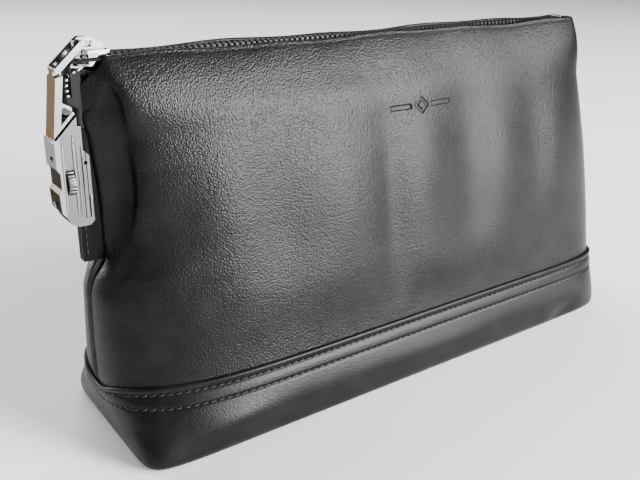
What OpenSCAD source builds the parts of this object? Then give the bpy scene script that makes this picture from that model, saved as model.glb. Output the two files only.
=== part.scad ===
// Zipped leather deposit bag with a thumbwheel latch on its end tab.
// X runs along the bag, Y from front to back and Z up. The origin is the middle of the base.

/* [Bag] */
// Length over the two end seams
bag_length = 275; // [260:5:320]
// Depth of the base, front to back
bag_depth = 83; // [76:1:96]
// Thickness of the leather
leather = 1.8; // [1.4:0.1:2.0]
// Height of the lower leather band
band_height = 30; // [24:1:36]

/* [Zip] */
// Distance between two teeth of one row
tooth_pitch = 2.5; // [2.2:0.1:3]

/* [Lock] */
// Radius of the thumbwheel
wheel_r = 4.6; // [4.2:0.1:4.8]
// Flutes round the thumbwheel
wheel_flutes = 20; // [12:1:24]
// Radius of the latch bolt
bolt_r = 1.1; // [0.9:0.1:1.2]

/* [Hidden] */
$fn = 40;

black = "#17181b";
steel = "#c9ccd0";
fit = 0.05;
half_l = bag_length / 2;
half_d = bag_depth / 2;
bag_height = 152;
panel_base = band_height + 0.2;

// ---- the bag's outer surface ----
// How far each end seam stands inside the widest point, by share of the height
LEFT_INSET = [[0, 5], [0.05, 3.5], [0.11, 2], [0.2, 0], [0.4, 0.5], [0.45, 2.5], [0.5, 7],
    [0.56, 10], [0.67, 9.5], [0.83, 7.7], [1, 8]];
RIGHT_INSET = [[0, 6.5], [0.05, 5], [0.11, 3.5], [0.2, 0.3], [0.31, 0], [0.4, 0.5], [0.56, 3.5],
    [0.67, 6.5], [0.83, 10.5], [1, 13]];
// Half depth at the middle as a share of the base's, by share of the height
DEPTH = [[0, 0.965], [0.03, 0.99], [0.07, 0.99], [0.2, 0.87], [0.4, 0.76], [0.6, 0.64],
    [0.8, 0.475], [0.92, 0.325], [0.98, 0.21], [1, 0.157]];
// Exponents of the rounded corners seen from above: along the bag, then across it
LEFT_LONG = [[0, 16], [0.1, 8], [0.2, 5.5], [0.5, 5], [0.8, 6], [1, 16]];
LEFT_ACROSS = [[0, 14], [0.1, 4.2], [0.2, 2.6], [0.5, 2.6], [0.8, 3.2], [1, 12]];
RIGHT_LONG = [[0, 16], [0.1, 12], [0.2, 10], [0.5, 8], [0.8, 8], [1, 16]];
RIGHT_ACROSS = [[0, 16], [0.1, 7], [0.2, 5], [0.5, 4], [0.8, 4], [1, 12]];

function smooth(t) = let (u = min(max(t, 0), 1)) u * u * (3 - 2 * u);
function table(rows, t) =
    let (u = min(max(t, rows[0][0]), rows[len(rows) - 1][0]),
        k = max([for (i = [0:len(rows) - 2]) if (rows[i][0] <= u) i]),
        a = rows[k], b = rows[k + 1])
    a[1] + (b[1] - a[1]) * (u - a[0]) / (b[0] - a[0]);
function end_x(z, left) = half_l - table(left ? LEFT_INSET : RIGHT_INSET, z / bag_height);
function long_power(z, left) = 2 / table(left ? LEFT_LONG : RIGHT_LONG, z / bag_height);
function across_power(z, left) = 2 / table(left ? LEFT_ACROSS : RIGHT_ACROSS, z / bag_height);
function depth_y(z) = half_d * table(DEPTH, z / bag_height);
// Half the gap between front and back leather, wider at the left end, which holds the lock tab
function seam_gap(z, left) = 0.95 + (left ? 1.55 * smooth((z - 66) / 8) : 0);
// How far the left end folds in beside the lock tab
function tuck(z, left) = left ? 6.5 * smooth((z - 70) / 35) * (1 - 0.55 * smooth((z - 135) / 12)) : 0;

// Surface point at height z, inset by d; a runs from the left seam, 0, over the front to 180
function skin(a, z, d) =
    let (left = a < 90, c = cos(a), s = max(sin(a), 0), g = seam_gap(z, left),
        y = g + (depth_y(z) - d - g) * pow(s, across_power(z, left)),
        fold = tuck(z, left) * pow(sin(180 * min((y - g) / 13, 1)), 2) * pow(abs(c), 6),
        x = (end_x(z, left) - d) * pow(abs(c), long_power(z, left)) - fold)
    [-sign(c) * x, -y, z];

// The leather's top edge is lower where the zip leaves over the left end
function rim_z(a) = bag_height - 5.5 * smooth((34 - a) / 10);

panel_steps = 36;
panel_rows = 12;
function panel_z(a, j) =
    panel_base + (rim_z(a) - panel_base) * (1 - pow(1 - j / panel_rows, 1.5));
function panel_points(d) = [for (j = [0:panel_rows]) for (i = [0:panel_steps])
    let (a = 180 * i / panel_steps) skin(a, panel_z(a, j), d)];

// One half of the upper leather, as a closed sheet between two grids of points
module half_shell() {
    w = panel_steps + 1;
    n = w * (panel_rows + 1);
    last = panel_rows * w;
    cells = [for (j = [0:panel_rows - 1]) for (i = [0:panel_steps - 1]) j * w + i];
    faces = concat(
        [for (p = cells) [p, p + 1, p + w + 1, p + w]],
        [for (p = cells) [p + w + n, p + w + 1 + n, p + 1 + n, p + n]],
        [for (i = [0:panel_steps - 1]) [i + n, i + 1 + n, i + 1, i]],
        [for (i = [last:last + panel_steps - 1]) [i, i + 1, i + 1 + n, i + n]],
        [for (j = [0:panel_rows - 1]) let (p = j * w) [p, p + w, p + w + n, p + n]],
        [for (j = [1:panel_rows]) let (p = j * w - 1) [p + n, p + w + n, p + w, p]]);
    turned = [for (f = faces) [f[3], f[2], f[1], f[0]]];
    polyhedron(concat(panel_points(0), panel_points(leather)), turned);
}

// The whole outline at height z, inset by d
tub_steps = 72;
function tub_point(a, z, d) =
    let (c = cos(a), s = sin(a), left = c > 0)
    [-sign(c) * ((end_x(z, left) - d) * pow(abs(c), long_power(z, left)) - tuck(z, left)),
        -sign(s) * (depth_y(z) - d) * pow(abs(s), across_power(z, left)), z];
function tub_ring(z, d) = [for (i = [0:tub_steps - 1]) tub_point(360 * (i + 0.5) / tub_steps, z, d)];

// An open tub through the heights in levels, with its floor at floor_z
module tub(levels, outer, inner, floor_z) {
    n = tub_steps;
    rings = concat([for (z = levels) tub_ring(z, outer)],
        [for (k = [len(levels) - 1:-1:0]) if (levels[k] > floor_z) tub_ring(levels[k], inner)],
        [tub_ring(floor_z, inner)]);
    m = len(rings);
    polyhedron([for (r = rings) for (p = r) p], concat(
        [for (j = [0:m - 2]) for (i = [0:n - 1]) let (k = (i + 1) % n)
            [j * n + i, j * n + k, (j + 1) * n + k, (j + 1) * n + i]],
        [[for (i = [n - 1:-1:0]) i]],
        [[for (i = [0:n - 1]) (m - 1) * n + i]]));
}

module base_panel() {
    color(black)
        tub([0, 3, 8, 14, 20, 25, band_height], -1, 1, 2);
}

module front_panel() {
    color(black)
        half_shell();
}

module back_panel() {
    color(black)
        mirror([0, 1, 0])
            half_shell();
}

module base_board() {
    color("#6b5f52")
        translate([0, 0, 2.1])
            linear_extrude(1.4)
                polygon([for (p = tub_ring(2, 6)) [p[0], p[1]]]);
}

module lining() {
    color("#24262b")
        tub([3.7, 9, 16, 30, 45, 60, 72, 84, 96, 108, 122, 138], leather + 0.6, leather + 1.3, 4.4);
}

// ---- end seams ----
tab_foot = 76;
seam_t = 1.6;

// The binding of an end seam between two heights
module seam_strip(z0, z1, left) {
    steps = 12;
    zs = [for (i = [0:steps]) z0 + (z1 - z0) * i / steps];
    mirror([left ? 0 : 1, 0, 0])
        rotate([90, 0, 0])
            linear_extrude(seam_t, center = true)
                polygon(concat([for (z = zs) [-end_x(z, left) - 1.4, z]],
                    [for (i = [steps:-1:0]) [-end_x(zs[i], left) + leather, zs[i]]]));
}

module left_seam_binding() {
    color(black)
        seam_strip(band_height + 0.5, tab_foot - 0.4, true);
}

module right_seam_binding() {
    color(black)
        seam_strip(band_height + 0.5, bag_height - 3, false);
}

// ---- lock tab: two leather layers that stand out of the left end ----
lock_outer = -143.5;
tab_x = lock_outer + 5.5;
tab_neck_x = lock_outer + 9.5;
tab_top = 145.5;
tab_t = 2.2;
rivet_r = 1;
RIVETS = [[lock_outer + 7.6, 97], [lock_outer + 7.6, 105]];

module rivet_bores(r, y0, y1) {
    for (p = RIVETS)
        translate([p[0], y1, p[1]])
            rotate([90, 0, 0])
                cylinder(r = r, h = y1 - y0);
}

module tab_outline() {
    steps = 8;
    polygon(concat(
        [[tab_x, tab_foot], [tab_x, 104], [tab_neck_x, 116], [tab_neck_x, tab_top - 3],
            [tab_neck_x + 3, tab_top]],
        [for (i = [steps:-1:0]) let (z = tab_foot + (tab_top - tab_foot) * i / steps)
            [-end_x(z, true) + leather, z]]));
}

module tab_layer() {
    color(black)
        difference() {
            translate([0, tab_t + 0.1, 0])
                rotate([90, 0, 0])
                    linear_extrude(tab_t)
                        tab_outline();
            rivet_bores(rivet_r + fit, -1, tab_t + 1);
        }
}

module lock_tab_front() {
    mirror([0, 1, 0])
        tab_layer();
}

module lock_tab_back() {
    tab_layer();
}

// ---- zip ----
tape_z = bag_height - 2.4;
tape_t = 0.6;
tooth_y = [0.6, 2.9];
tooth_z = [tape_z - 0.6, tape_z + 1.8];
tape_edge = depth_y(tape_z) - leather - 1;
fold_edge = 4.4;
zip_left = lock_outer + 8.7;
zip_right = end_x(tape_z, false) - leather - 1.4;

// A box between two X, two Y and two Z values
module block(xs, ys, zs) {
    translate([xs[0], ys[0], zs[0]])
        cube([xs[1] - xs[0], ys[1] - ys[0], zs[1] - zs[0]]);
}

// The tape is narrower at both ends, clear of the leather's rounded corners
module zip_tape() {
    wide = [14 - end_x(tape_z, true), end_x(tape_z, false) - 14];
    block([zip_left, zip_right], [tooth_y[1], fold_edge], [tape_z, tape_z + tape_t]);
    block(wide, [tooth_y[1], tape_edge], [tape_z, tape_z + tape_t]);
}

module zip_tape_front() {
    color(black)
        mirror([0, 1, 0])
            zip_tape();
}

module zip_tape_back() {
    color(black)
        zip_tape();
}

module zip_teeth(shift) {
    for (x = [zip_left + 3 + shift:tooth_pitch:zip_right - 5.5])
        block([x, x + 1.3], tooth_y, tooth_z);
}

module zip_teeth_front() {
    color("#2b2d31")
        mirror([0, 1, 0])
            zip_teeth(0);
}

module zip_teeth_back() {
    color("#2b2d31")
        zip_teeth(tooth_pitch / 2);
}

// The tape's end, turned down over the edge of the lock tab
module zip_end_fold() {
    bend_r = 2.6;
    color(black)
        translate([0, fold_edge, 0])
            rotate([90, 0, 0])
                linear_extrude(2 * fold_edge) {
                    translate([zip_left, tape_z + tape_t - bend_r])
                        intersection() {
                            difference() {
                                circle(bend_r);
                                circle(bend_r - tape_t);
                            }
                            translate([-bend_r, 0])
                                square(bend_r);
                        }
                    translate([zip_left - bend_r, tape_z - 12])
                        square([tape_t, 12 + tape_t - bend_r]);
                }
}

module zip_top_stops() {
    color(steel)
        for (side = [0, 1])
            mirror([0, side, 0])
                block([zip_left + 0.6, zip_left + 2.3], [0.7, 2.1], [tooth_z[0], tooth_z[1] - 0.3]);
}

module zip_bottom_stop() {
    color(steel)
        block([zip_right - 3.2, zip_right - 0.4], [-2.7, 2.7], tooth_z);
}

// ---- slider, at rest at the left end of the zip ----
slider_x = zip_left + 0.3;
slider_l = 12.2;
slider_end = slider_x + slider_l;
slider_half = 4.1;
cheek_y = tooth_y[1] + 0.35;
roof_z = [tooth_z[1] + 0.3, tooth_z[1] + 1.5];
keel_z = [tooth_z[0] - 1.3, tooth_z[0] - 0.3];

// A plate with a round nose and square shoulders
module slider_plate(zs) {
    nose_r = 2.4;
    translate([0, 0, zs[0]])
        linear_extrude(zs[1] - zs[0]) {
            translate([slider_x + nose_r, 0])
                circle(nose_r);
            polygon([[slider_x + nose_r, -nose_r], [slider_x + 4.2, -slider_half],
                [slider_end, -slider_half + 0.6], [slider_end, slider_half - 0.6],
                [slider_x + 4.2, slider_half], [slider_x + nose_r, nose_r]]);
        }
}

module slider_body() {
    cheeks = [slider_x + 4.4, slider_end - 1];
    post = [slider_end - 4.2, slider_end - 0.8];
    color(steel) {
        slider_plate(roof_z);
        slider_plate(keel_z);
        for (side = [0, 1])
            mirror([0, side, 0]) {
                block(cheeks, [cheek_y, slider_half - 0.3], [tape_z + tape_t + 0.3, roof_z[0]]);
                block(cheeks, [cheek_y, slider_half - 0.3], [keel_z[1], tape_z - 0.3]);
            }
        block(post, [-0.3, 0.3], [keel_z[1], roof_z[0]]);
    }
}

// The bridge is an arch on the roof, open underneath for the link's bar
link_x = slider_x + 2.6;
link_z = roof_z[1] + 2.5;
bar_r = 0.8;
bridge_half = 1.3;

module across(half) {
    translate([0, half, 0])
        rotate([90, 0, 0])
            linear_extrude(2 * half)
                children();
}

module slider_bridge() {
    foot = roof_z[1];
    color(steel)
        difference() {
            across(bridge_half)
                polygon([[slider_x + 0.4, foot], [slider_x + 0.6, link_z + 0.9],
                    [slider_x + 2.2, link_z + 2.1], [slider_x + 5.4, link_z + 2],
                    [slider_end - 1.6, foot + 1.7], [slider_end - 1, foot]]);
            across(bridge_half + 1)
                stadium([link_x, link_z], [link_x + 3.4, link_z - 0.4], bar_r + 0.3);
            block([slider_x + 6.6, slider_end - 2.4], [-0.75, 0.75], [foot - 1, foot + 0.8]);
        }
}

// Two discs and the bar between them
module stadium(p, q, r) {
    v = q - p;
    translate(p)
        circle(r);
    translate(q)
        circle(r);
    translate(p)
        rotate(atan2(v[1], v[0]))
            translate([0, -r])
                square([norm(v), 2 * r]);
}

module slider_pawl() {
    color("#9a9da2")
        block([slider_x + 6.8, slider_end - 2.6], [-0.6, 0.6], [roof_z[1], roof_z[1] + 0.6]);
}

// ---- link and pull ----
hinge_x = lock_outer + 2.5;
hinge_z = 147.2;
link_half = 3.7;
arm_t = 1.4;
arm_r = 1.15;
pull_t = 2.7;
pull_half = 4.4;

module cross_bar(x, z, r, half) {
    translate([x, half, z])
        rotate([90, 0, 0])
            cylinder(r = r, h = 2 * half);
}

module pull_link() {
    color(steel) {
        cross_bar(link_x, link_z, bar_r, link_half);
        cross_bar(hinge_x, hinge_z, bar_r, link_half);
        for (side = [-1, 1])
            translate([0, side * (link_half - arm_t / 2), 0])
                across(arm_t / 2)
                    stadium([hinge_x, hinge_z], [link_x, link_z], arm_r);
    }
}

// ---- lock ----
lock_half = 5.6;
lock_foot = 91.5;
// The bevel on the lock's head is the line where Z is X plus this
bevel_rise = 268.5;
eye_x = lock_outer + 4.1;
eye_z = eye_x + bevel_rise;

// Height of the line that lies a given distance over the bevel
function bevel_z(x, over) = x + bevel_rise + over * sqrt(2);

module pull_tab() {
    face = hinge_x - pull_t / 2;
    back = hinge_x + pull_t / 2;
    toe_face = lock_outer - 1.5;
    toe_back = toe_face + pull_t + 0.3;
    toe = lock_outer + 6.7;
    plate = 1.2;
    gap = 0.35;
    knuckle_r = pull_t / 2;
    color(steel)
        difference() {
            union() {
                across(pull_half)
                    polygon([[toe_face, bevel_z(toe_face, gap)], [toe, bevel_z(toe, gap)],
                        [toe - 0.85, bevel_z(toe, gap) + 0.85],
                        [toe_back, bevel_z(toe_back, gap + plate)],
                        [back, hinge_z - 1.7], [face, hinge_z - 2.4]]);
                across(link_half - arm_t - 0.2) {
                    translate([face, hinge_z - 3])
                        square([pull_t, 3]);
                    translate([hinge_x, hinge_z])
                        circle(knuckle_r);
                }
            }
            cross_bar(hinge_x, hinge_z, bar_r + fit, pull_half);
            translate([eye_x, 0, eye_z])
                rotate([0, -45, 0])
                    translate([-1.9, -2.6, -1])
                        cube([3.8, 5.2, 4]);
        }
}

wheel_x = [lock_outer + 1, lock_outer + 3.4];
wheel_y = -4.1;
wheel_z = 108.5;
spindle_r = 0.9;
bolt_bore = 5;

module along_x(xs, y, z, r) {
    translate([xs[0], y, z])
        rotate([0, 90, 0])
            cylinder(r = r, h = xs[1] - xs[0]);
}

// Turns the local Z axis to the bolt's way out of the bevel
module at_bolt() {
    translate([eye_x, 0, eye_z])
        rotate([0, -45, 0])
            children();
}

COVER_SCREWS = [99.5, 116.2];
screw_r = 0.6;

module lock_body() {
    head = 128;
    step = lock_outer + 6.5;
    inner = lock_outer + 9.8;
    slot = lock_outer + 5.3;
    color(steel)
        difference() {
            across(lock_half)
                polygon([[lock_outer, lock_foot + 4], [lock_outer + 1.2, lock_foot + 1.4],
                    [lock_outer + 4, lock_foot], [inner - 1.6, lock_foot], [inner, lock_foot + 1.6],
                    [inner, 117.4], [inner - 2, 119.4], [inner - 2, head], [step, head],
                    [step, bevel_z(step, 0)], [lock_outer, bevel_z(lock_outer, 0)]]);
            block([slot, inner + 5], [-tab_t - 0.2, tab_t + 0.2], [80, 118.4]);
            along_x([wheel_x[0] - 0.3, wheel_x[1] + 0.3], wheel_y, wheel_z, wheel_r + 0.3);
            along_x([lock_outer - 1, wheel_x[1] + 1.2], wheel_y, wheel_z, spindle_r + fit);
            at_bolt()
                translate([0, 0, -bolt_bore])
                    cylinder(r = bolt_r + fit, h = bolt_bore + 3);
            for (z = COVER_SCREWS)
                along_x([lock_outer - 1, lock_outer + 2.6], 0, z, screw_r + fit);
            rivet_bores(rivet_r + fit, -lock_half + 1, lock_half + 1);
            // reset hole and the flutes down both faces
            translate([lock_outer + 8.3, 0, 114.7])
                rotate([90, 0, 0])
                    cylinder(r = 0.7, h = 10);
            for (side = [0, 1])
                mirror([0, side, 0])
                    for (x = [lock_outer + 6.4, lock_outer + 8])
                        block([x, x + 0.7], [lock_half - 0.5, lock_half + 1], [lock_foot + 3, 121]);
        }
}

module lock_cover() {
    outer = lock_outer - 2;
    waist = lock_outer - 0.9;
    color(steel)
        difference() {
            across(lock_half)
                polygon([[lock_outer, lock_foot + 4], [lock_outer, bevel_z(lock_outer, 0)],
                    [outer, bevel_z(outer, 0)], [outer, wheel_z + 5], [waist, wheel_z + 3.4],
                    [waist, wheel_z - 2.4], [outer, wheel_z - 4], [outer + 0.4, lock_foot + 6]]);
            for (z = COVER_SCREWS)
                along_x([outer - 1, lock_outer + 1], 0, z, screw_r + fit);
        }
}

module cover_screws() {
    head = lock_outer - 2;
    color(steel)
        for (z = COVER_SCREWS) {
            along_x([head - 0.5, head + 0.02], 0, z, 1.2);
            along_x([head, lock_outer + 2.5], 0, z, screw_r);
        }
}

module tab_rivets() {
    color(steel) {
        rivet_bores(rivet_r, -lock_half + 1.1, lock_half + 0.1);
        rivet_bores(1.8, lock_half, lock_half + 0.6);
    }
}

module thumbwheel() {
    color("#7d8187")
        difference() {
            along_x(wheel_x, wheel_y, wheel_z, wheel_r);
            along_x([wheel_x[0] - 1, wheel_x[1] + 1], wheel_y, wheel_z, spindle_r);
            for (i = [0:wheel_flutes - 1])
                translate([0, wheel_y, wheel_z])
                    rotate([360 * i / wheel_flutes, 0, 0])
                        along_x([wheel_x[0] - 1, wheel_x[1] + 1], wheel_r + 0.15, 0, 0.45);
        }
}

module wheel_spindle() {
    color("#9a9da2")
        along_x([lock_outer + 0.1, wheel_x[1] + 1.1], wheel_y, wheel_z, spindle_r);
}

bolt_back = -3.9;
module latch_bolt() {
    color(steel)
        at_bolt()
            translate([0, 0, bolt_back])
                cylinder(r = bolt_r, h = 3.4);
}

// A coil of round wire, swept as a polyhedron
module bolt_spring() {
    turns = 2;
    per_turn = 16;
    sides = 6;
    wire = 0.14;
    coil_r = 0.75;
    n = turns * per_turn;
    low = -bolt_bore + wire + 0.02;
    high = bolt_back - wire - 0.05;
    points = [for (i = [0:n]) for (k = [0:sides - 1])
        let (a = 360 * i / per_turn, b = 360 * k / sides, r = coil_r + wire * cos(b))
        [r * cos(a), r * sin(a), low + (high - low) * i / n + wire * sin(b)]];
    color("#9a9da2")
        at_bolt()
            polyhedron(points, concat(
                [for (i = [0:n - 1]) for (k = [0:sides - 1]) let (m = (k + 1) % sides)
                    [i * sides + k, i * sides + m, (i + 1) * sides + m, (i + 1) * sides + k]],
                [[for (k = [sides - 1:-1:0]) k]],
                [[for (k = [0:sides - 1]) n * sides + k]]));
}

base_panel();
front_panel();
back_panel();
base_board();
lining();
left_seam_binding();
right_seam_binding();
lock_tab_front();
lock_tab_back();
zip_tape_front();
zip_tape_back();
zip_teeth_front();
zip_teeth_back();
zip_end_fold();
zip_top_stops();
zip_bottom_stop();
slider_body();
slider_bridge();
slider_pawl();
pull_link();
pull_tab();
lock_body();
lock_cover();
cover_screws();
tab_rivets();
thumbwheel();
wheel_spindle();
latch_bolt();
bolt_spring();
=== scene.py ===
import math

import bmesh
import bpy
import numpy as np
from mathutils import Matrix, Vector


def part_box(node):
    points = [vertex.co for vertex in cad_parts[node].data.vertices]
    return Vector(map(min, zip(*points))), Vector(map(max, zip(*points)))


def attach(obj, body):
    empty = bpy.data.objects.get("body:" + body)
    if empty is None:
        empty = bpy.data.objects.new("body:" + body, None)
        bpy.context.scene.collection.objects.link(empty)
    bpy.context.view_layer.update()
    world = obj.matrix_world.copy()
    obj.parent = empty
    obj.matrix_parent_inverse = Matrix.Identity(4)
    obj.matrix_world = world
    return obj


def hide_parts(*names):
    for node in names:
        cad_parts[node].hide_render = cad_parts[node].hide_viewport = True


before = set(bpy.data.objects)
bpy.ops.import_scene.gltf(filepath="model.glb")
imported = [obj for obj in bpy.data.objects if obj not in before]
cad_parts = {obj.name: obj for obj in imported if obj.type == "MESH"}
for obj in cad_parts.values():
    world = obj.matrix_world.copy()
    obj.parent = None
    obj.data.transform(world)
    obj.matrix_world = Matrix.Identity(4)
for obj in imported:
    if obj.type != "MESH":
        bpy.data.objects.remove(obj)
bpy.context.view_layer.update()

MM = 0.001


def node_box(name):
    """Lowest and highest corner of a CAD node, in millimetres."""
    low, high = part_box(name)
    return np.array(low) / MM, np.array(high) / MM


# ---------------------------------------------------------------- sizes, in millimetres
BAND_TOP = node_box("base_panel")[1][2]
RIM_TOP = node_box("front_panel")[1][2]
HALF_DEPTH = node_box("base_panel")[1][1] - 0.6
HALF_LENGTH = 137.5
END_DIP = 6.5  # how much lower the band's top edge runs round the ends
ROW_DROPS = (3.0, 8.0)  # the band's two stitch rows, below its top edge
SKIN_FOOT = BAND_TOP - 9.0  # the upper leather starts here, behind the band
SKIN_THICK = 1.9
TAB_FOOT = node_box("lock_tab_front")[0][2]
TAB_FACE = -node_box("lock_tab_front")[0][1]
TAB_NECK = -134.0
LOCK_OUTER = node_box("lock_body")[0][0]
LOCK_SIDE = node_box("lock_body")[1][1]
LOCK_FOOT = node_box("lock_body")[0][2]
LOCK_HEAD = node_box("lock_body")[1][2] - 4.0
STITCH_PITCH = 3.3
THREAD_R = 0.33

# how far each end seam stands inside the widest point, by share of the height
LEFT_INSET = [(0, 5), (0.05, 3.5), (0.11, 2), (0.2, 0), (0.4, 0.5), (0.45, 2.5), (0.5, 7),
              (0.56, 10), (0.67, 9.5), (0.83, 7.7), (1, 8)]
RIGHT_INSET = [(0, 6.5), (0.05, 5), (0.11, 3.5), (0.2, 0.3), (0.31, 0), (0.4, 0.5), (0.56, 3.5),
               (0.67, 6.5), (0.83, 10.5), (1, 13)]
# half depth at the middle as a share of the base's, by share of the height
DEPTH = [(0, 0.965), (0.03, 0.99), (0.07, 0.99), (0.2, 0.87), (0.4, 0.76), (0.6, 0.64),
         (0.8, 0.475), (0.92, 0.325), (0.98, 0.21), (1, 0.157)]
# exponents of the rounded corners seen from above: along the bag, then across it
LEFT_LONG = [(0, 16), (0.1, 8), (0.2, 5.5), (0.5, 4), (0.8, 3.6), (1, 12)]
LEFT_ACROSS = [(0, 14), (0.1, 4.2), (0.2, 2.6), (0.5, 2.6), (0.8, 3.2), (1, 12)]
RIGHT_LONG = [(0, 16), (0.1, 12), (0.2, 10), (0.5, 8), (0.8, 8), (1, 16)]
RIGHT_ACROSS = [(0, 16), (0.1, 7), (0.2, 5), (0.5, 4), (0.8, 4), (1, 12)]


def smooth(t):
    """0 up to t = 0, then a soft step up to 1 at t = 1."""
    u = np.clip(t, 0, 1)
    return u * u * (3 - 2 * u)


def bell(t):
    """1 at t = 0, falling to nothing on both sides."""
    return np.exp(-np.square(t))


def curve_table(rows, t):
    """A smooth curve through the rows that never overshoots them, read at t."""
    xs = np.array([r[0] for r in rows], float)
    ys = np.array([r[1] for r in rows], float)
    chords = np.diff(ys) / np.diff(xs)
    slopes = np.concatenate([[chords[0]], np.zeros(len(xs) - 2), [chords[-1]]])
    for i in range(1, len(xs) - 1):
        a, b = chords[i - 1], chords[i]
        if a * b > 0:
            slopes[i] = 2 * a * b / (a + b)
    t = np.clip(t, xs[0], xs[-1])
    k = np.clip(np.searchsorted(xs, t, side="right") - 1, 0, len(xs) - 2)
    h = xs[k + 1] - xs[k]
    u = (t - xs[k]) / h
    return (ys[k] * (1 + 2 * u) * (1 - u) ** 2 + slopes[k] * h * u * (1 - u) ** 2
            + ys[k + 1] * u * u * (3 - 2 * u) + slopes[k + 1] * h * u * u * (u - 1))


def by_end(z, left, left_rows, right_rows):
    """One table for the left end and another for the right, read at height z."""
    share = z / RIM_TOP
    return np.where(left, curve_table(left_rows, share), curve_table(right_rows, share))


def end_x(z, left=True):
    """Distance of an end seam from the bag's middle."""
    return HALF_LENGTH - by_end(z, left, LEFT_INSET, RIGHT_INSET)


def depth_y(z):
    """Half the bag's depth at its middle."""
    return HALF_DEPTH * curve_table(DEPTH, z / RIM_TOP)


# ---------------------------------------------------------------- meshes
def link(obj):
    bpy.context.scene.collection.objects.link(obj)
    return obj


def mesh_piece(name, points, faces, material):
    """A smooth-shaded object from points in millimetres."""
    mesh = bpy.data.meshes.new(name)
    mesh.from_pydata([tuple(c * MM for c in p) for p in points], [], faces)
    mesh.materials.append(material)
    mesh.shade_smooth()
    mesh.update()
    return link(bpy.data.objects.new(name, mesh))


def grid_faces(rows, columns, closed=False, flip=False):
    """Quads over a grid of points stored row by row."""
    faces = []
    span = columns if closed else columns - 1
    for j in range(rows - 1):
        for i in range(span):
            k = (i + 1) % columns
            quad = (j * columns + i, j * columns + k, (j + 1) * columns + k, (j + 1) * columns + i)
            faces.append(quad[::-1] if flip else quad)
    return faces


def resample(line, fractions):
    """Points at the given shares of a polyline's length."""
    steps = np.linalg.norm(np.diff(line, axis=0), axis=1)
    s = np.concatenate([[0], np.cumsum(steps)])
    return np.stack([np.interp(np.asarray(fractions) * s[-1], s, line[:, c])
                     for c in range(line.shape[1])], axis=1)


def merged(name, parts, material):
    """One piece from many (points, faces) lists."""
    points, faces = [], []
    for part_points, part_faces in parts:
        base = len(points)
        points.extend(part_points)
        faces.extend(tuple(base + i for i in f) for f in part_faces)
    return mesh_piece(name, points, faces, material)


# ---------------------------------------------------------------- materials
class Nodes:
    """Short calls for building one material's node tree."""

    def __init__(self, name):
        self.material = bpy.data.materials.new(name)
        self.material.use_nodes = True
        self.tree = self.material.node_tree
        self.shader = self.tree.nodes["Principled BSDF"]
        self.coords = self.add("ShaderNodeTexCoord").outputs["Object"]

    def add(self, kind, **settings):
        node = self.tree.nodes.new(kind)
        for key, value in settings.items():
            setattr(node, key, value)
        return node

    def join(self, source, target):
        self.tree.links.new(source, target)

    def set(self, **values):
        """Sets the shader's own sockets."""
        for key, value in values.items():
            self.shader.inputs[key.replace("_", " ")].default_value = value

    def noise(self, scale, detail=3, rough=0.5, stretch=None):
        node = self.add("ShaderNodeTexNoise")
        node.inputs["Scale"].default_value = scale
        node.inputs["Detail"].default_value = detail
        node.inputs["Roughness"].default_value = rough
        self.join(self.stretched(stretch), node.inputs["Vector"])
        return node.outputs["Fac"]

    def cells(self, scale, feature="F1", smoothness=None):
        node = self.add("ShaderNodeTexVoronoi", feature=feature)
        node.inputs["Scale"].default_value = scale
        if smoothness is not None:
            node.inputs["Smoothness"].default_value = smoothness
        self.join(self.coords, node.inputs["Vector"])
        return node.outputs["Distance"]

    def stretched(self, stretch):
        if stretch is None:
            return self.coords
        node = self.add("ShaderNodeMapping")
        node.inputs["Scale"].default_value = stretch
        self.join(self.coords, node.inputs["Vector"])
        return node.outputs["Vector"]

    def span(self, value, low, high, to_low, to_high):
        """The value moved from one range to another."""
        node = self.add("ShaderNodeMapRange")
        for key, v in (("From Min", low), ("From Max", high), ("To Min", to_low), ("To Max", to_high)):
            node.inputs[key].default_value = v
        self.join(value, node.inputs["Value"])
        return node.outputs["Result"]

    def maths(self, kind, a, b):
        node = self.add("ShaderNodeMath", operation=kind)
        for socket, value in zip(node.inputs, (a, b)):
            if isinstance(value, (int, float)):
                socket.default_value = value
            else:
                self.join(value, socket)
        return node.outputs[0]

    def ramp(self, value, low_colour, high_colour, low=0.0, high=1.0):
        """A colour between two, as the value goes from low to high."""
        node = self.add("ShaderNodeValToRGB")
        ends = node.color_ramp.elements
        ends[0].position, ends[0].color = low, (*low_colour, 1)
        ends[1].position, ends[1].color = high, (*high_colour, 1)
        self.join(value, node.inputs["Fac"])
        return node.outputs["Color"]

    def bump(self, heights):
        """Chains bumps, each a (height, strength, distance in metres)."""
        normal = None
        for height, strength, distance in heights:
            node = self.add("ShaderNodeBump")
            node.inputs["Strength"].default_value = strength
            node.inputs["Distance"].default_value = distance
            self.join(height, node.inputs["Height"])
            if normal is not None:
                self.join(normal, node.inputs["Normal"])
            normal = node.outputs["Normal"]
        self.join(normal, self.shader.inputs["Normal"])


# texture scales, in features per metre
GRAIN_WARP, PEBBLES, PORES, SOFT_FOLDS, BLOTCHES = 420, 1400, 2800, 160, 90
THREAD_TWIST, THREAD_FUZZ = 900, 1500
POLISH_LINES, FINGERPRINTS = 260, 110
FLOOR_CLOUDS = 9
WAVE_LENGTH = 0.31  # metres per band of a wave texture whose scale is 1


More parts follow.
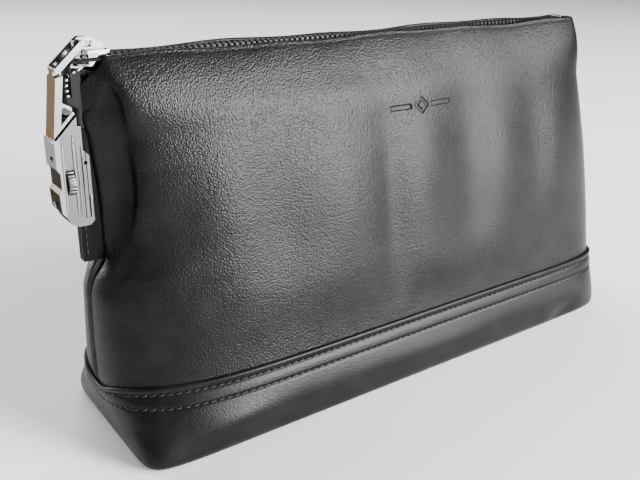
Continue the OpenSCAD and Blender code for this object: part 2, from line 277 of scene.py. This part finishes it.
def leather(name, grain=1.0, shine=0.235, gloss=0.13, dark=0.003, pale=0.007):
    """Black leather with a pebble grain; grain is the bump's strength, shine the least roughness."""
    m = Nodes(name)
    warp = m.noise(GRAIN_WARP, 2)
    pebbles = m.cells(PEBBLES, "SMOOTH_F1", smoothness=0.35)
    pores = m.cells(PORES)
    folds = m.noise(SOFT_FOLDS, 4, 0.55)
    height = m.maths("SUBTRACT", m.maths("MULTIPLY", warp, 0.5), pebbles)
    m.bump([(folds, 0.05 * grain, 0.0009),
            (height, 0.6 * grain, 0.00022),
            (pores, 0.2 * grain, 0.00008)])
    black = m.ramp(m.noise(BLOTCHES, 4), (dark, dark, dark * 1.06), (pale, pale, pale * 1.05), 0.3, 0.7)
    m.join(black, m.shader.inputs["Base Color"])
    m.join(m.span(pebbles, 0.1, 0.75, shine, shine + 0.13), m.shader.inputs["Roughness"])
    m.set(Specular_IOR_Level=gloss)
    return m.material


def thread_material():
    """Black twisted thread."""
    m = Nodes("black_thread")
    wave = m.add("ShaderNodeTexWave", bands_direction="DIAGONAL")
    wave.inputs["Scale"].default_value = THREAD_TWIST
    m.join(m.coords, wave.inputs["Vector"])
    m.bump([(wave.outputs["Fac"], 0.5, 0.0001)])
    black = m.ramp(m.noise(THREAD_FUZZ), (0.004, 0.004, 0.0045), (0.012, 0.012, 0.013))
    m.join(black, m.shader.inputs["Base Color"])
    m.set(Roughness=0.5, Specular_IOR_Level=0.3)
    return m.material


def cloth(name, dark, pale, pitch, rough=0.85, sheen=0.25):
    """Woven cloth or board; pitch is the distance between threads, in metres."""
    m = Nodes(name)
    warp = m.add("ShaderNodeTexWave", bands_direction="X")
    weft = m.add("ShaderNodeTexWave", bands_direction="Y")
    for wave in (warp, weft):
        wave.inputs["Scale"].default_value = WAVE_LENGTH / pitch
        wave.inputs["Distortion"].default_value = 0.4
        m.join(m.coords, wave.inputs["Vector"])
    weave = m.maths("MAXIMUM", warp.outputs["Fac"], weft.outputs["Fac"])
    m.bump([(weave, 0.6, 0.00015)])
    m.join(m.ramp(weave, dark, pale), m.shader.inputs["Base Color"])
    m.set(Roughness=rough, Specular_IOR_Level=0.25, Sheen_Weight=sheen, Sheen_Roughness=0.5)
    return m.material


def metal(name, colour, rough, edge=None):
    """Plated metal with faint polishing lines and fingerprints; edge tints its glancing reflections."""
    m = Nodes(name)
    lines = m.noise(POLISH_LINES, 3, 0.6, stretch=(1, 1, 14))
    prints = m.noise(FINGERPRINTS, 4, 0.6)
    m.bump([(lines, 0.15, 0.00004)])
    m.join(m.span(prints, 0.35, 0.75, rough, rough + 0.08), m.shader.inputs["Roughness"])
    touched = tuple(c * 0.93 for c in colour)
    m.join(m.ramp(prints, touched, colour, 0.3, 0.7), m.shader.inputs["Base Color"])
    m.set(Metallic=1.0)
    if edge is not None:
        m.set(Specular_Tint=(*(edge * c for c in colour), 1))
    return m.material


def pale_floor():
    """A plain pale floor with a very faint mottle."""
    m = Nodes("pale_floor")
    grey = m.ramp(m.noise(FLOOR_CLOUDS, 3), (0.86, 0.86, 0.86), (0.88, 0.88, 0.885))
    m.join(grey, m.shader.inputs["Base Color"])
    m.set(Roughness=0.75, Specular_IOR_Level=0.2)
    return m.material


LEATHER = leather("black_leather")
SMOOTH_LEATHER = leather("black_leather_worked", grain=0.4, shine=0.28, gloss=0.14)
# the tab: the same black leather, less glossy, with its colour painted darker as painted shade
SHADED_TAB_LEATHER = leather("black_leather_tab_painted_shade", grain=0.5, shine=0.42, gloss=0.05, dark=0.002, pale=0.004)
THREAD = thread_material()
TAPE = cloth("zip_tape", (0.002, 0.002, 0.002), (0.008, 0.008, 0.009), 0.0006, sheen=0.0)
LINING = cloth("lining_cloth", (0.012, 0.013, 0.016), (0.05, 0.052, 0.06), 0.0009)
BOARD = cloth("stiffener_board", (0.16, 0.12, 0.09), (0.3, 0.25, 0.2), 0.002, 0.9)
CHROME = metal("bright_chrome", (0.40, 0.405, 0.42), 0.1, edge=0.9)
# the lock case: the ribs' chrome painted darker, as painted shade, so the case shows mid-greys beside the
# bright ribs
SHADED_CASE_CHROME = metal("case_chrome_painted_shade", (0.20, 0.203, 0.21), 0.13, edge=0.9)
FACE_CHROME = metal("warm_chrome", (0.25, 0.207, 0.17), 0.3, edge=0.9)
# the lock cover's outer end face below 114 mm: darker, warmer metal
DARK_LOWER_FACE = metal("dark_lower_face", (0.17, 0.158, 0.145), 0.3, edge=0.9)
TEETH = metal("zip_teeth", (0.05, 0.05, 0.054), 0.3)
# the corner teeth: the zip's dark teeth made pale, as a painted glint
GLINT_TEETH = metal("zip_teeth_painted_glint", (0.55, 0.55, 0.57), 0.2)
STEEL = metal("dark_steel", (0.14, 0.14, 0.145), 0.28, edge=0.9)

# ---------------------------------------------------------------- the leather's surface
# soft dents and swellings of the front: x, z, half width, half height, millimetres outward
FRONT_WAVES = [(-10, 84, 8, 38, -1.2), (-35, 86, 13, 36, 0.8), (-66, 84, 13, 34, -1.2),
               (-90, 92, 13, 32, 0.8), (10, 90, 12, 36, 0.9), (38, 94, 13, 40, -1.3),
               (60, 78, 13, 32, 0.9), (82, 96, 12, 30, -0.7), (100, 84, 14, 34, 0.7),
               (-5, 128, 60, 9, 0.8), (-60, 58, 30, 14, 0.7), (26, 52, 26, 12, 0.7),
               (96, 48, 16, 16, -0.7)]
BACK_WAVES = [(-60, 84, 24, 40, -1.1), (-18, 80, 18, 36, 0.9), (24, 88, 20, 38, -1.2),
              (70, 76, 22, 36, 0.8), (0, 50, 70, 12, 0.5)]


def seam_gap(z, left):
    """Half the gap between front and back leather at an end: wider where the tab lies between them."""
    return 0.7 + np.where(left, 1.75 * smooth((z - 66) / 8), 0)


def tuck(z, left):
    """Depth of the fold beside the tab, where the upper left corner is drawn in."""
    return np.where(left, 7.0 * smooth((z - 72) / 34) * (1 - 0.5 * smooth((z - 134) / 13)), 0)


def fin(z, left):
    """How far the leather's edge runs out along the tab, beside the lock and then above it."""
    return np.where(left, 3.0 * smooth((z - 76) / 8) + 1.8 * smooth((z - 122) / 8), 0)


def skin_line(z, inset=0.0, steps=900):
    """The upper leather's outline at height z, from the left seam over the front to the right."""
    a = np.linspace(0, math.pi, steps)
    c, s = np.cos(a), np.maximum(np.sin(a), 0)
    left = c > 0
    g = seam_gap(z, left)
    y = g + (depth_y(z) - inset - g) * s ** (2 / by_end(z, left, LEFT_ACROSS, RIGHT_ACROSS))
    pinch = tuck(z, left) * np.sin(math.pi * np.clip((y - g) / 15, 0, 1)) ** 2 * np.abs(c) ** 4
    run_out = fin(z, left)
    roll = np.where(run_out > 0, 0.4, 1.0) * bell(y - g)
    turned = roll - run_out * bell((y - g) / 2.4)
    x = (end_x(z, left) - inset) * np.abs(c) ** (2 / by_end(z, left, LEFT_LONG, RIGHT_LONG))
    return np.stack([-np.sign(c) * (x - pinch - turned), -y], axis=1)


def rim_z(x, side):
    """Height of the top edge: it dips at the left end and waves a little."""
    end = end_x(RIM_TOP)
    end_dip = 5.5 * smooth((-(end - 4.5) - x) / 5.0) + 3.5 * smooth((-end - x) / 5.0)
    wave = 0.45 * np.sin(x / 19.0 + side) + 0.3 * np.sin(x / 8.3 + 2 * side)
    return RIM_TOP - 0.6 + wave * smooth((end - np.abs(x)) / 20) - end_dip


def relief(x, z, waves):
    """Height of the soft dents and swellings at x, z."""
    out = np.zeros_like(x)
    for cx, cz, wx, wz, amount in waves:
        out += amount * bell((x - cx) / wx) * bell((z - cz) / wz)
    return out


# the pressed mark: a lozenge between two bars
MARK_X, MARK_Z, MARK_DEEP = 10.0, 121.5, 0.55
# columns of the mesh from one seam to the other, and the shares between which they are closer
COLUMNS, MARK_SHARES = 330, (0.46, 0.62)


def pressed(distance, soft=0.35):
    """1 inside a shape, 0 outside, with a soft wall; distance is positive outside."""
    return 1 - smooth(distance / soft + 0.5)


def mark_depth(x, z):
    """How deep the mark is pressed at x, z."""
    u, w = x - MARK_X, z - MARK_Z
    lozenge = (np.abs(u) / 4.2 + np.abs(w) / 3.6 - 1) * 2.6
    hollow = (np.abs(u) / 2.2 + np.abs(w) / 1.9 - 1) * 1.4
    bars = np.maximum(np.abs(np.abs(u) - 11.5) - 5.5, np.abs(w) - 1.0)
    shape = np.maximum(pressed(lozenge) * (1 - pressed(hollow)), pressed(bars))
    halo = bell(u / 19) * bell(w / 5)
    return MARK_DEEP * shape + 0.18 * halo


def share_list(count, fine_from, fine_to, fine_count):
    """Shares of an outline's length, packed closer between two of them."""
    coarse = np.linspace(0, 1, count)
    fine = np.linspace(fine_from, fine_to, fine_count)
    keep = coarse[(coarse < fine_from) | (coarse > fine_to)]
    return np.sort(np.concatenate([keep, fine]))


def upper_leather(name, side, waves, marked):
    """Front (side 1) or back (side -1) leather, with its rolled top edge."""
    shares = share_list(COLUMNS, *MARK_SHARES, 190 if marked else 60)
    edge_r = SKIN_THICK / 2
    crest = RIM_TOP - edge_r
    heights = list(np.linspace(SKIN_FOOT, 114, 68))
    heights += list(np.linspace(115, 128, 50 if marked else 14))
    heights += list(np.linspace(129.5, crest, 30))
    rows = []
    for z in heights:
        x, y = resample(skin_line(z), shares).T
        # level rows low down turn into rows that follow the wavy top edge
        waved = SKIN_FOOT + (z - SKIN_FOOT) / (crest - SKIN_FOOT) * (rim_z(x, side) - edge_r - SKIN_FOOT)
        blend = smooth((z - 130) / 12)
        out = relief(x, z, waves) * smooth(-y / 14) * smooth((z - 32) / 14)
        if marked:
            out -= mark_depth(x, z) * (np.abs(y) > 6)
        rows.append(np.stack([x, y - out, (1 - blend) * z + blend * waved], axis=1))
    # the rolled edge and a short way down the inside
    inner = resample(skin_line(crest, SKIN_THICK), shares)
    outer = rows[-1]
    for angle in np.radians([30, 60, 90, 120, 150, 180]):
        t = (1 - math.cos(angle)) / 2
        flat = outer[:, :2] * (1 - t) + inner * t
        lift = edge_r * math.sin(angle)
        rows.append(np.column_stack([flat, outer[:, 2] + lift]))
    for drop in (2.5, 7.0):
        low = resample(skin_line(crest - drop, SKIN_THICK), shares)
        rows.append(np.column_stack([low, outer[:, 2] - drop]))
    points = np.concatenate(rows)
    points[:, 1] *= side
    return mesh_piece(name, points.tolist(), grid_faces(len(rows), len(shares), flip=side < 0), LEATHER)


# ---------------------------------------------------------------- the lower band and base
def band_line(z, inset, steps=2400):
    """The band's whole outline at height z."""
    a = (np.arange(steps) + 0.5) * 2 * math.pi / steps
    c, s = np.cos(a), np.sin(a)
    left = c > 0
    x = (end_x(z, left) - inset) * np.abs(c) ** (2 / by_end(z, left, LEFT_LONG, RIGHT_LONG))
    y = (depth_y(z) - inset) * np.abs(s) ** (2 / by_end(z, left, LEFT_ACROSS, RIGHT_ACROSS))
    return np.stack([-np.sign(c) * x, -np.sign(s) * y], axis=1)


def dipped(flat, z):
    """The height that a level line at z takes, lower where it goes round the ends."""
    ends = smooth((np.abs(flat[:, 0]) - HALF_LENGTH + 42) / 30) * bell(flat[:, 1] / 15)
    return z - END_DIP * ends * smooth(z / BAND_TOP)


def around(z, inset, count):
    """Points round the band, re-read so that each lies on the outline at its own dipped height."""
    flat = band_share(z, inset, count)
    heights = dipped(flat, z)
    if z == 0:
        return np.column_stack([flat, heights])
    levels = np.linspace(max(z - END_DIP, 0), z, 8)
    lines = np.stack([band_share(v, inset, count) for v in levels])
    t = np.clip((heights - levels[0]) / (levels[-1] - levels[0]), 0, 1) * (len(levels) - 1)
    k = np.minimum(t.astype(int), len(levels) - 2)
    u = (t - k)[:, None]
    i = np.arange(count)
    return np.column_stack([lines[k, i] * (1 - u) + lines[k + 1, i] * u, heights])


def band_share(z, inset, count):
    """Points evenly spaced round the band's outline at height z."""
    line = band_line(z, inset)
    closed = np.vstack([line, line[:1]])
    return resample(closed, np.arange(count) / count)


def band_swell(z):
    """How far the band stands proud of the outline: folded edge, then sewn channels."""
    d = BAND_TOP - z
    out = 1.0 + 0.45 * bell((d - 0.9) / 0.8)
    for row in ROW_DROPS:
        out -= 0.42 * bell((d - row) / 0.55)
    out += 0.16 * bell((d - 5.5) / 1.6)
    return out


# soft dents of the band: x, z, half width, half height, millimetres outward, on the front
BAND_WAVES = [(-96, 13, 16, 4.5, 0.7), (-60, 6, 30, 4, -0.4), (102, 4, 9, 5, -1.6), (118, 12, 8, 7, 0.6),
              (20, 12, 50, 5, 0.4), (60, 10, 22, 6, -0.5), (-118, 8, 6, 6, -0.5)]
BAND_COUNT = 760


def band_piece():
    """The band and the sole in one skin: sole, rounded bottom edge, side, folded top edge."""
    heights = [0.0, 0.25, 0.9, 2.0, 3.2] + list(np.arange(4.5, BAND_TOP - 10, 1.1))
    heights += list(np.arange(BAND_TOP - 10, BAND_TOP - 0.4, 0.3))
    bottom_r = 2.2
    rows = []
    for z in heights:
        cut = bottom_r - math.sqrt(max(bottom_r ** 2 - max(bottom_r - z, 0) ** 2, 0))
        row = around(z, cut - band_swell(z), BAND_COUNT)
        x, y = row[:, 0], row[:, 1]
        out = relief(x, z, BAND_WAVES) * smooth((np.abs(y) - 26) / 8)
        out *= smooth(z / 3) * smooth((BAND_TOP - 8.5 - z) / 3 + 0.5)
        row[:, 1] += np.sign(y) * out
        rows.append(row)
    for inset, rise in ((-1.2, -0.25), (-0.7, 0.05), (-0.1, 0.02), (0.3, -0.8), (0.3, -4.0)):
        row = around(BAND_TOP, inset, BAND_COUNT)
        row[:, 2] += rise
        rows.append(row)
    sole = []
    for k, inset in enumerate((38, 30, 20, 10, 4)):
        flat = band_share(0.0, inset, BAND_COUNT)
        ripple = 0.25 + 0.12 * np.sin(flat[:, 0] / 17 + k)
        sole.append(np.column_stack([flat, ripple * (inset > 4)]))
    rows = sole + rows
    points = np.concatenate(rows).tolist()
    faces = grid_faces(len(rows), BAND_COUNT, closed=True)
    faces.append(tuple(range(BAND_COUNT))[::-1])
    return mesh_piece("base_band", points, faces, SMOOTH_LEATHER)


# ---------------------------------------------------------------- stitching
def stitch(p, q, out, radius=THREAD_R, rise=0.28, sink=0.5):
    """One stitch of thread from p to q that dives into the leather at both ends."""
    p, q, out = Vector(p), Vector(q), Vector(out).normalized()
    along = (q - p).normalized()
    side = along.cross(out).normalized()
    stations = [(0.0, -sink, 0.75), (0.06, 0.0, 1.0), (0.25, rise, 1.08), (0.5, rise * 1.15, 1.1),
                (0.75, rise, 1.08), (0.94, 0.0, 1.0), (1.0, -sink, 0.75)]
    sides = 8
    points = []
    for t, h, w in stations:
        centre = p.lerp(q, t) + out * h
        for k in range(sides):
            a = 2 * math.pi * k / sides
            points.append(tuple(centre + (side * math.cos(a) + out * math.sin(a)) * radius * w))
    faces = grid_faces(len(stations), sides, closed=True)
    last = (len(stations) - 1) * sides
    faces += [tuple(range(sides))[::-1], tuple(range(last, last + sides))]
    return points, faces


def stitch_run(line, outs, pitch=STITCH_PITCH, gap=0.55, **shape):
    """Stitches along a polyline, evenly spaced."""
    line, outs = np.asarray(line), np.asarray(outs)
    steps = np.concatenate([[0], np.cumsum(np.linalg.norm(np.diff(line, axis=0), axis=1))])
    count = max(int(steps[-1] / pitch), 1)
    real = steps[-1] / count

    def at(s, values):
        return [np.interp(s, steps, values[:, c]) for c in range(3)]

    parts = []
    for k in range(count):
        a, b = k * real + gap / 2, (k + 1) * real - gap / 2
        parts.append(stitch(at(a, line), at(b, line), at((a + b) / 2, outs), **shape))
    return parts


def band_stitches():
    """The two rows round the band, each in its own channel."""
    parts = []
    for drop in ROW_DROPS:
        z = BAND_TOP - drop
        line = around(z, -band_swell(z) - 0.02, 600)
        line = np.vstack([line, line[:1]])
        flat = line[:, :2]
        tangent = np.gradient(flat, axis=0)
        normal = np.stack([tangent[:, 1], -tangent[:, 0]], axis=1)
        if np.sum(normal * flat) < 0:
            normal = -normal
        outs = np.column_stack([normal, 0.12 * np.linalg.norm(normal, axis=1)])
        parts += stitch_run(line, outs)
    return merged("band_stitching", parts, THREAD)


# ---------------------------------------------------------------- end seams
def welt(name, side, z0, z1):
    """The turned edges of an end seam: a narrow ridge with a groove down its middle."""
    section = [(-2.2, -1.6), (-2.0, -0.2), (-1.6, 0.75), (-0.95, 1.25), (-0.35, 1.1), (0.0, 0.55),
               (0.35, 1.1), (0.95, 1.25), (1.6, 0.75), (2.0, -0.2), (2.2, -1.6)]
    steps = 90
    rows = []
    for i, z in enumerate(np.linspace(z0, z1, steps)):
        fade = smooth(min(i, steps - 1 - i) / 4)
        x = float(end_x(z, side < 0)) - 1.0
        rows.append([(side * (x + out * (0.35 + 0.65 * fade) + 0.12 * math.sin(z / 4.1)), y, z)
                     for y, out in section])
    points = [p for row in rows for p in row]
    return mesh_piece(name, points, grid_faces(len(rows), len(section), flip=side > 0), SMOOTH_LEATHER)


# ---------------------------------------------------------------- zip, lining and tab
def tape_piece(name, node, side):
    """One side of the zip's tape: a thin woven strip, thicker beside the teeth, sagging a little."""
    low, high = node_box(node)
    inner, outer = min(abs(low[1]), abs(high[1])), max(abs(low[1]), abs(high[1]))
    xs = np.arange(low[0], high[0], 0.6)
    across = np.linspace(inner, outer, 15)
    share = (across - inner) / (outer - inner)
    top = high[2] + 0.10 * bell((share - 0.25) / 0.07) + 0.07 * bell((share - 0.6) / 0.05)
    profile = list(zip(across, top)) + [(y, low[2]) for y in across[::-1]]
    rows = []
    for x in xs:
        sag = 0.12 * math.sin(x / 23) + 0.05 * math.sin(x / 7.7)
        weave = 0.03 * math.sin(x * 2 * math.pi / 1.8)
        rows.append([(x, side * y, z + (sag + weave) * smooth((y - inner - 2.2) / 3)) for y, z in profile])
    points = [p for row in rows for p in row]
    faces = grid_faces(len(rows), len(profile), closed=True, flip=side < 0)
    last = (len(rows) - 1) * len(profile)
    ends = [tuple(range(len(profile))), tuple(range(last, last + len(profile)))[::-1]]
    faces += [end[::-1] for end in ends] if side > 0 else ends
    return mesh_piece(name, points, faces, TAPE)


def lining_piece():
    """The cloth lining: a bag inside the leather with soft creases."""
    count, foot, top, inset = 260, 2.6, 146, 3.4
    rows = []
    for z in np.concatenate([[foot], np.linspace(foot + 1, top, 56)]):
        front_half = resample(skin_line(z, inset), np.linspace(0, 1, count))
        ring = np.vstack([front_half, front_half[::-1] * (1, -1)])
        crease = 0.25 * np.sin(ring[:, 0] / 5.5 + z / 21) + 0.2 * np.sin(ring[:, 0] / 13 - z / 9)
        pull_in = (0.5 + crease) * smooth((z - 4) / 12)
        ring[:, 1] -= np.sign(ring[:, 1]) * np.minimum(pull_in, np.abs(ring[:, 1]))
        rows.append(np.column_stack([ring, np.full(len(ring), z)]))
    points = np.concatenate(rows).tolist()
    faces = grid_faces(len(rows), 2 * count, closed=True)
    faces.append(tuple(range(2 * count))[::-1])
    return mesh_piece("lining_cloth_bag", points, faces, LINING)


def neck_edge(z):
    """How far out the tape round the tab's neck reaches at height z: clear of the pull's toe below."""
    return TAB_NECK - 2.2 - 3.6 * smooth((z - 133.0) / 3) + 3.4 * smooth((z - 143.5) / 3.1)


def neck_binding():
    """The zip's tape end, folded round the edge of the tab's neck."""
    half = node_box("lock_tab_back")[1][1] + 0.4
    inner = TAB_NECK + 0.8
    fold, top = 1.5, 146.6
    rows = []
    for z in np.linspace(LOCK_HEAD - 1, top, 48):
        edge = float(neck_edge(z)) + 0.12 * math.sin(z * 1.1)
        turns = np.linspace(0, math.pi, 13)
        arc = [(edge + fold - fold * math.sin(a), -half * math.cos(a)) for a in turns]
        rows.append([(x, y, z) for x, y in [(inner, -half)] + arc + [(inner, half)]])
    points = [p for row in rows for p in row]
    count = len(rows[0])
    faces = grid_faces(len(rows), count, closed=True, flip=True)
    last = (len(rows) - 1) * count
    faces += [tuple(range(count)), tuple(range(last, last + count))[::-1]]
    return mesh_piece("neck_tape", points, faces, TAPE)


def corner_teeth():
    """The last teeth of the zip, pale metal unlike the rest as a painted glint, turning down the front of
    the folded tape.
    """
    y = -TAB_FACE - 0.7
    path = [(-133.8, y, 146.8), (-136.4, y, 145.8), (-138.2, y, 143.8), (-138.6, y, 141.2),
            (-138.2, y, 138.2)]
    outline = [(-0.6, -0.55), (0.6, -0.55), (0.75, 0), (0.6, 0.55), (-0.6, 0.55), (-0.75, 0)]
    sides = len(outline)
    parts = []
    for place in resample(np.array(path), np.linspace(0, 1, 7)):
        centre = Vector(place)
        points = []
        for rise, share in ((0.5, 1.0), (-0.35, 1.0), (-0.75, 0.6)):
            points += [tuple(centre + Vector((u * share, rise, w * share))) for u, w in outline]
        faces = grid_faces(3, sides, closed=True)
        faces += [tuple(range(sides))[::-1], tuple(range(2 * sides, 3 * sides))]
        parts.append((points, faces))
    return merged("corner_teeth", parts, GLINT_TEETH)


def tab_stitches():
    """Two short runs on each face of the tab, below the lock and beside its neck."""
    y = TAB_FACE + 0.05
    left = node_box("lock_tab_front")[0][0] + 1.5
    parts = []
    for side in (-1, 1):
        for x, z0, z1 in ((left, TAB_FOOT + 2, LOCK_FOOT - 0.5), (TAB_NECK + 1.9, LOCK_HEAD + 1, 142)):
            line = [(x, side * y, z0), (x, side * y, z1)]
            outs = [(0, side, 0), (0, side, 0)]
            parts += stitch_run(line, outs, pitch=2.7, radius=0.26, rise=0.2, sink=0.4)
    return merged("tab_stitching", parts, THREAD)


def rib(x, z0, z1, half, proud, side):
    """A half-round rib standing on the lock's face, tapered at both ends."""
    rows, sides, sunk = 15, 9, 0.05
    points = []
    for i in range(rows):
        t = i / (rows - 1)
        z = z0 + (z1 - z0) * t
        fade = min(smooth(t * 7), smooth((1 - t) * 7)) * 0.85 + 0.15
        for k in range(sides):
            a = math.pi * k / (sides - 1)
            y = LOCK_SIDE - sunk + proud * fade * math.sin(a)
            points.append((x - half * fade * math.cos(a), side * y, z))
    return points, grid_faces(rows, sides, flip=side > 0)


def lock_ribs():
    """Ribs down both faces of the lock case."""
    # each rib's distance from the case's outer edge, foot, top, half width and height
    ribs = [(0.55, LOCK_FOOT + 3.5, LOCK_HEAD - 4, 0.5, 0.55),
            (4.4, LOCK_FOOT + 2.2, LOCK_HEAD - 1.5, 0.55, 0.8),
            (5.7, LOCK_FOOT + 2.2, LOCK_HEAD - 2.5, 0.4, 0.55),
            (9.2, LOCK_FOOT + 2.5, 103, 0.5, 0.7),
            (7.4, 104.5, 118, 0.3, 0.45)]
    parts = [rib(LOCK_OUTER + x, z0, z1, half, proud, side)
             for side in (-1, 1) for x, z0, z1, half, proud in ribs]
    return merged("lock_ribs", parts, CHROME)


# ---------------------------------------------------------------- rounded copies of CAD parts
SHARP = math.radians(25)


def rounded_copy(node, name, material, width, outer, outer_top):
    """The CAD node's shape with its sharp edges rounded; outer is for its end face below outer_top."""
    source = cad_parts[node]
    mesh = source.data.copy()
    mesh.name = name
    mesh.materials.clear()
    mesh.materials.append(material)
    if outer:
        mesh.materials.append(outer)
    work = bmesh.new()
    work.from_mesh(mesh)
    bmesh.ops.remove_doubles(work, verts=work.verts, dist=1e-6)
    bmesh.ops.dissolve_limit(work, angle_limit=math.radians(1), verts=work.verts, edges=work.edges)
    sharp = [e for e in work.edges if len(e.link_faces) == 2 and e.calc_face_angle(0) > SHARP]
    bmesh.ops.bevel(work, geom=sharp, offset=width * MM, segments=3, profile=0.6,
                    affect="EDGES", clamp_overlap=True)
    for face in work.faces:
        face.smooth = True
        if outer and face.normal.x < -0.75 and face.calc_center_median().z < outer_top * MM:
            face.material_index = 1
    work.to_mesh(mesh)
    work.free()
    obj = link(bpy.data.objects.new(name, mesh))
    weighted = obj.modifiers.new("weighted", "WEIGHTED_NORMAL")
    weighted.keep_sharp = True
    return obj


# ---------------------------------------------------------------- building the pieces
def keep(piece, body, slot, *nodes):
    """Puts a piece on the body it rides on and hides the CAD nodes it replaces; slot, its material slot,
    is not used.
    """
    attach(piece, body)
    if nodes:
        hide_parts(*nodes)


SEAM_FOOT = BAND_TOP - END_DIP - 1
front = upper_leather("front_leather", 1, FRONT_WAVES, True)
keep(front, "bag", "black_leather", "front_panel")
back = upper_leather("back_leather", -1, BACK_WAVES, False)
keep(back, "bag", "black_leather", "back_panel")
keep(band_piece(), "bag", "black_leather", "base_panel")
keep(band_stitches(), "bag", "black_leather")
left_welt = welt("left_seam_welt", -1, SEAM_FOOT, TAB_FOOT + 1)
keep(left_welt, "bag", "black_leather", "left_seam_binding")
right_welt = welt("right_seam_welt", 1, SEAM_FOOT, RIM_TOP - 4)
keep(right_welt, "bag", "black_leather", "right_seam_binding")
keep(tape_piece("tape_front", "zip_tape_front", -1), "bag", "zip_tape", "zip_tape_front")
keep(tape_piece("tape_back", "zip_tape_back", 1), "bag", "zip_tape", "zip_tape_back")
keep(lining_piece(), "bag", "lining_cloth", "lining")
keep(neck_binding(), "bag", "zip_tape")
keep(corner_teeth(), "bag", "zip_teeth")
keep(tab_stitches(), "bag", "black_leather")
keep(lock_ribs(), "bag", "bright_chrome")

# CAD node, its rounded copy, material, width of the rounding, outer face's material, body, slot
ROUNDED = [
    ("lock_tab_front", "tab_leather_front", SHADED_TAB_LEATHER, 0.6, None, "bag", "black_leather"),
    ("lock_tab_back", "tab_leather_back", SHADED_TAB_LEATHER, 0.6, None, "bag", "black_leather"),
    ("base_board", "board", BOARD, 0.3, None, "bag", "stiffener_board"),
    ("zip_end_fold", "tape_end_fold", TAPE, 0.2, None, "bag", "zip_tape"),
    ("slider_body", "zip_slider", CHROME, 0.25, None, "slider", "bright_chrome"),
    ("slider_bridge", "zip_slider_bridge", CHROME, 0.35, None, "slider", "bright_chrome"),
    ("slider_pawl", "zip_pawl", STEEL, 0.12, None, "slider", "dark_steel"),
    ("pull_link", "zip_pull_link", CHROME, 0.3, None, "link", "bright_chrome"),
    ("pull_tab", "zip_pull", CHROME, 0.35, FACE_CHROME, "pull", "bright_chrome"),
    ("lock_body", "lock_case", SHADED_CASE_CHROME, 0.45, None, "bag", "bright_chrome"),
    ("lock_cover", "lock_face", CHROME, 0.4, DARK_LOWER_FACE, "bag", "bright_chrome"),
    ("thumbwheel", "lock_wheel", STEEL, 0.15, None, "wheel", "dark_steel"),
    ("latch_bolt", "lock_bolt", CHROME, 0.2, None, "bolt", "bright_chrome"),
    ("cover_screws", "face_screws", CHROME, 0.12, None, "bag", "bright_chrome"),
    ("tab_rivets", "rivets", CHROME, 0.2, None, "bag", "bright_chrome"),
    ("zip_bottom_stop", "bottom_stop", CHROME, 0.2, None, "bag", "bright_chrome"),
    ("zip_top_stops", "top_stops", CHROME, 0.2, None, "bag", "bright_chrome"),
]
# the outer face's own material stops at this height on the lock's cover, and nowhere on the rest
OUTER_TOP = {"lock_cover": 114.0}
for node, name, material, width, outer, body, slot in ROUNDED:
    piece = rounded_copy(node, name, material, width, outer, OUTER_TOP.get(node, math.inf))
    keep(piece, body, slot, node)

# CAD nodes that are shown as they are
PLAIN = {"zip_teeth_front": TEETH, "zip_teeth_back": TEETH, "wheel_spindle": STEEL, "bolt_spring": STEEL}
for node, material in PLAIN.items():
    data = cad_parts[node].data
    data.materials.clear()
    data.materials.append(material)

# ---------------------------------------------------------------- floor, light and camera
floor_mesh = bpy.data.meshes.new("floor")
reach = 6.0
floor_mesh.from_pydata([(-reach, -reach, 0), (reach, -reach, 0), (reach, reach, 0), (-reach, reach, 0)],
                       [], [(0, 1, 2, 3)])
floor_mesh.materials.append(pale_floor())
floor = link(bpy.data.objects.new("floor", floor_mesh))
floor.location.z = -0.0005

world = bpy.data.worlds.new("studio")
bpy.context.scene.world = world
world.use_nodes = True
world.node_tree.nodes["Background"].inputs["Color"].default_value = (0.93, 0.95, 1.0, 1)
world.node_tree.nodes["Background"].inputs["Strength"].default_value = 0.1


def area_light(name, place, aim, size, power, colour=(1, 1, 1)):
    """A rectangular lamp at place, turned to aim."""
    data = bpy.data.lights.new(name, "AREA")
    data.shape = "RECTANGLE"
    data.size, data.size_y = size
    data.energy = power
    data.color = colour
    obj = link(bpy.data.objects.new(name, data))
    obj.location = place
    obj.rotation_euler = (Vector(aim) - Vector(place)).to_track_quat("-Z", "Y").to_euler()


area_light("key", (0.90, -1.72, 0.52), (0.0, 0, 0.1), (0.6, 0.8), 150, (1, 0.97, 0.94))
area_light("shoulder", (1.02, -1.02, 0.84), (0.0, 0, 0.12), (0.6, 0.26), 42)
area_light("rear_top", (0.1, 1.1, 1.5), (0, 0, 0.0), (1.7, 1.0), 37)
area_light("back", (-0.9, 1.5, 0.55), (0, 0, 0.08), (0.6, 0.7), 22)
area_light("side", (-1.5, 0.1, 0.8), (0, 0, 0.1), (0.4, 0.8), 5, (0.88, 0.94, 1))

# where the camera stands, and the angles it is turned by
YAW, PITCH, ROLL = (math.radians(a) for a in (35.91, 22.05, 1.03))
EYE = Vector((-0.22671, -0.27358, 0.1967))
ahead = Vector((math.sin(YAW) * math.cos(PITCH), math.cos(YAW) * math.cos(PITCH), -math.sin(PITCH)))
level = Vector((math.cos(YAW), -math.sin(YAW), 0))
above = level.cross(ahead)
right = level * math.cos(ROLL) + above * math.sin(ROLL)
up = above * math.cos(ROLL) - level * math.sin(ROLL)
camera_data = bpy.data.cameras.new("camera")
camera_data.sensor_width = 36
camera_data.lens = 44.98
camera_data.clip_start = 0.01
camera = link(bpy.data.objects.new("camera", camera_data))
camera.matrix_world = Matrix(((right.x, up.x, -ahead.x, EYE.x), (right.y, up.y, -ahead.y, EYE.y),
                              (right.z, up.z, -ahead.z, EYE.z), (0, 0, 0, 1)))
bpy.context.scene.camera = camera
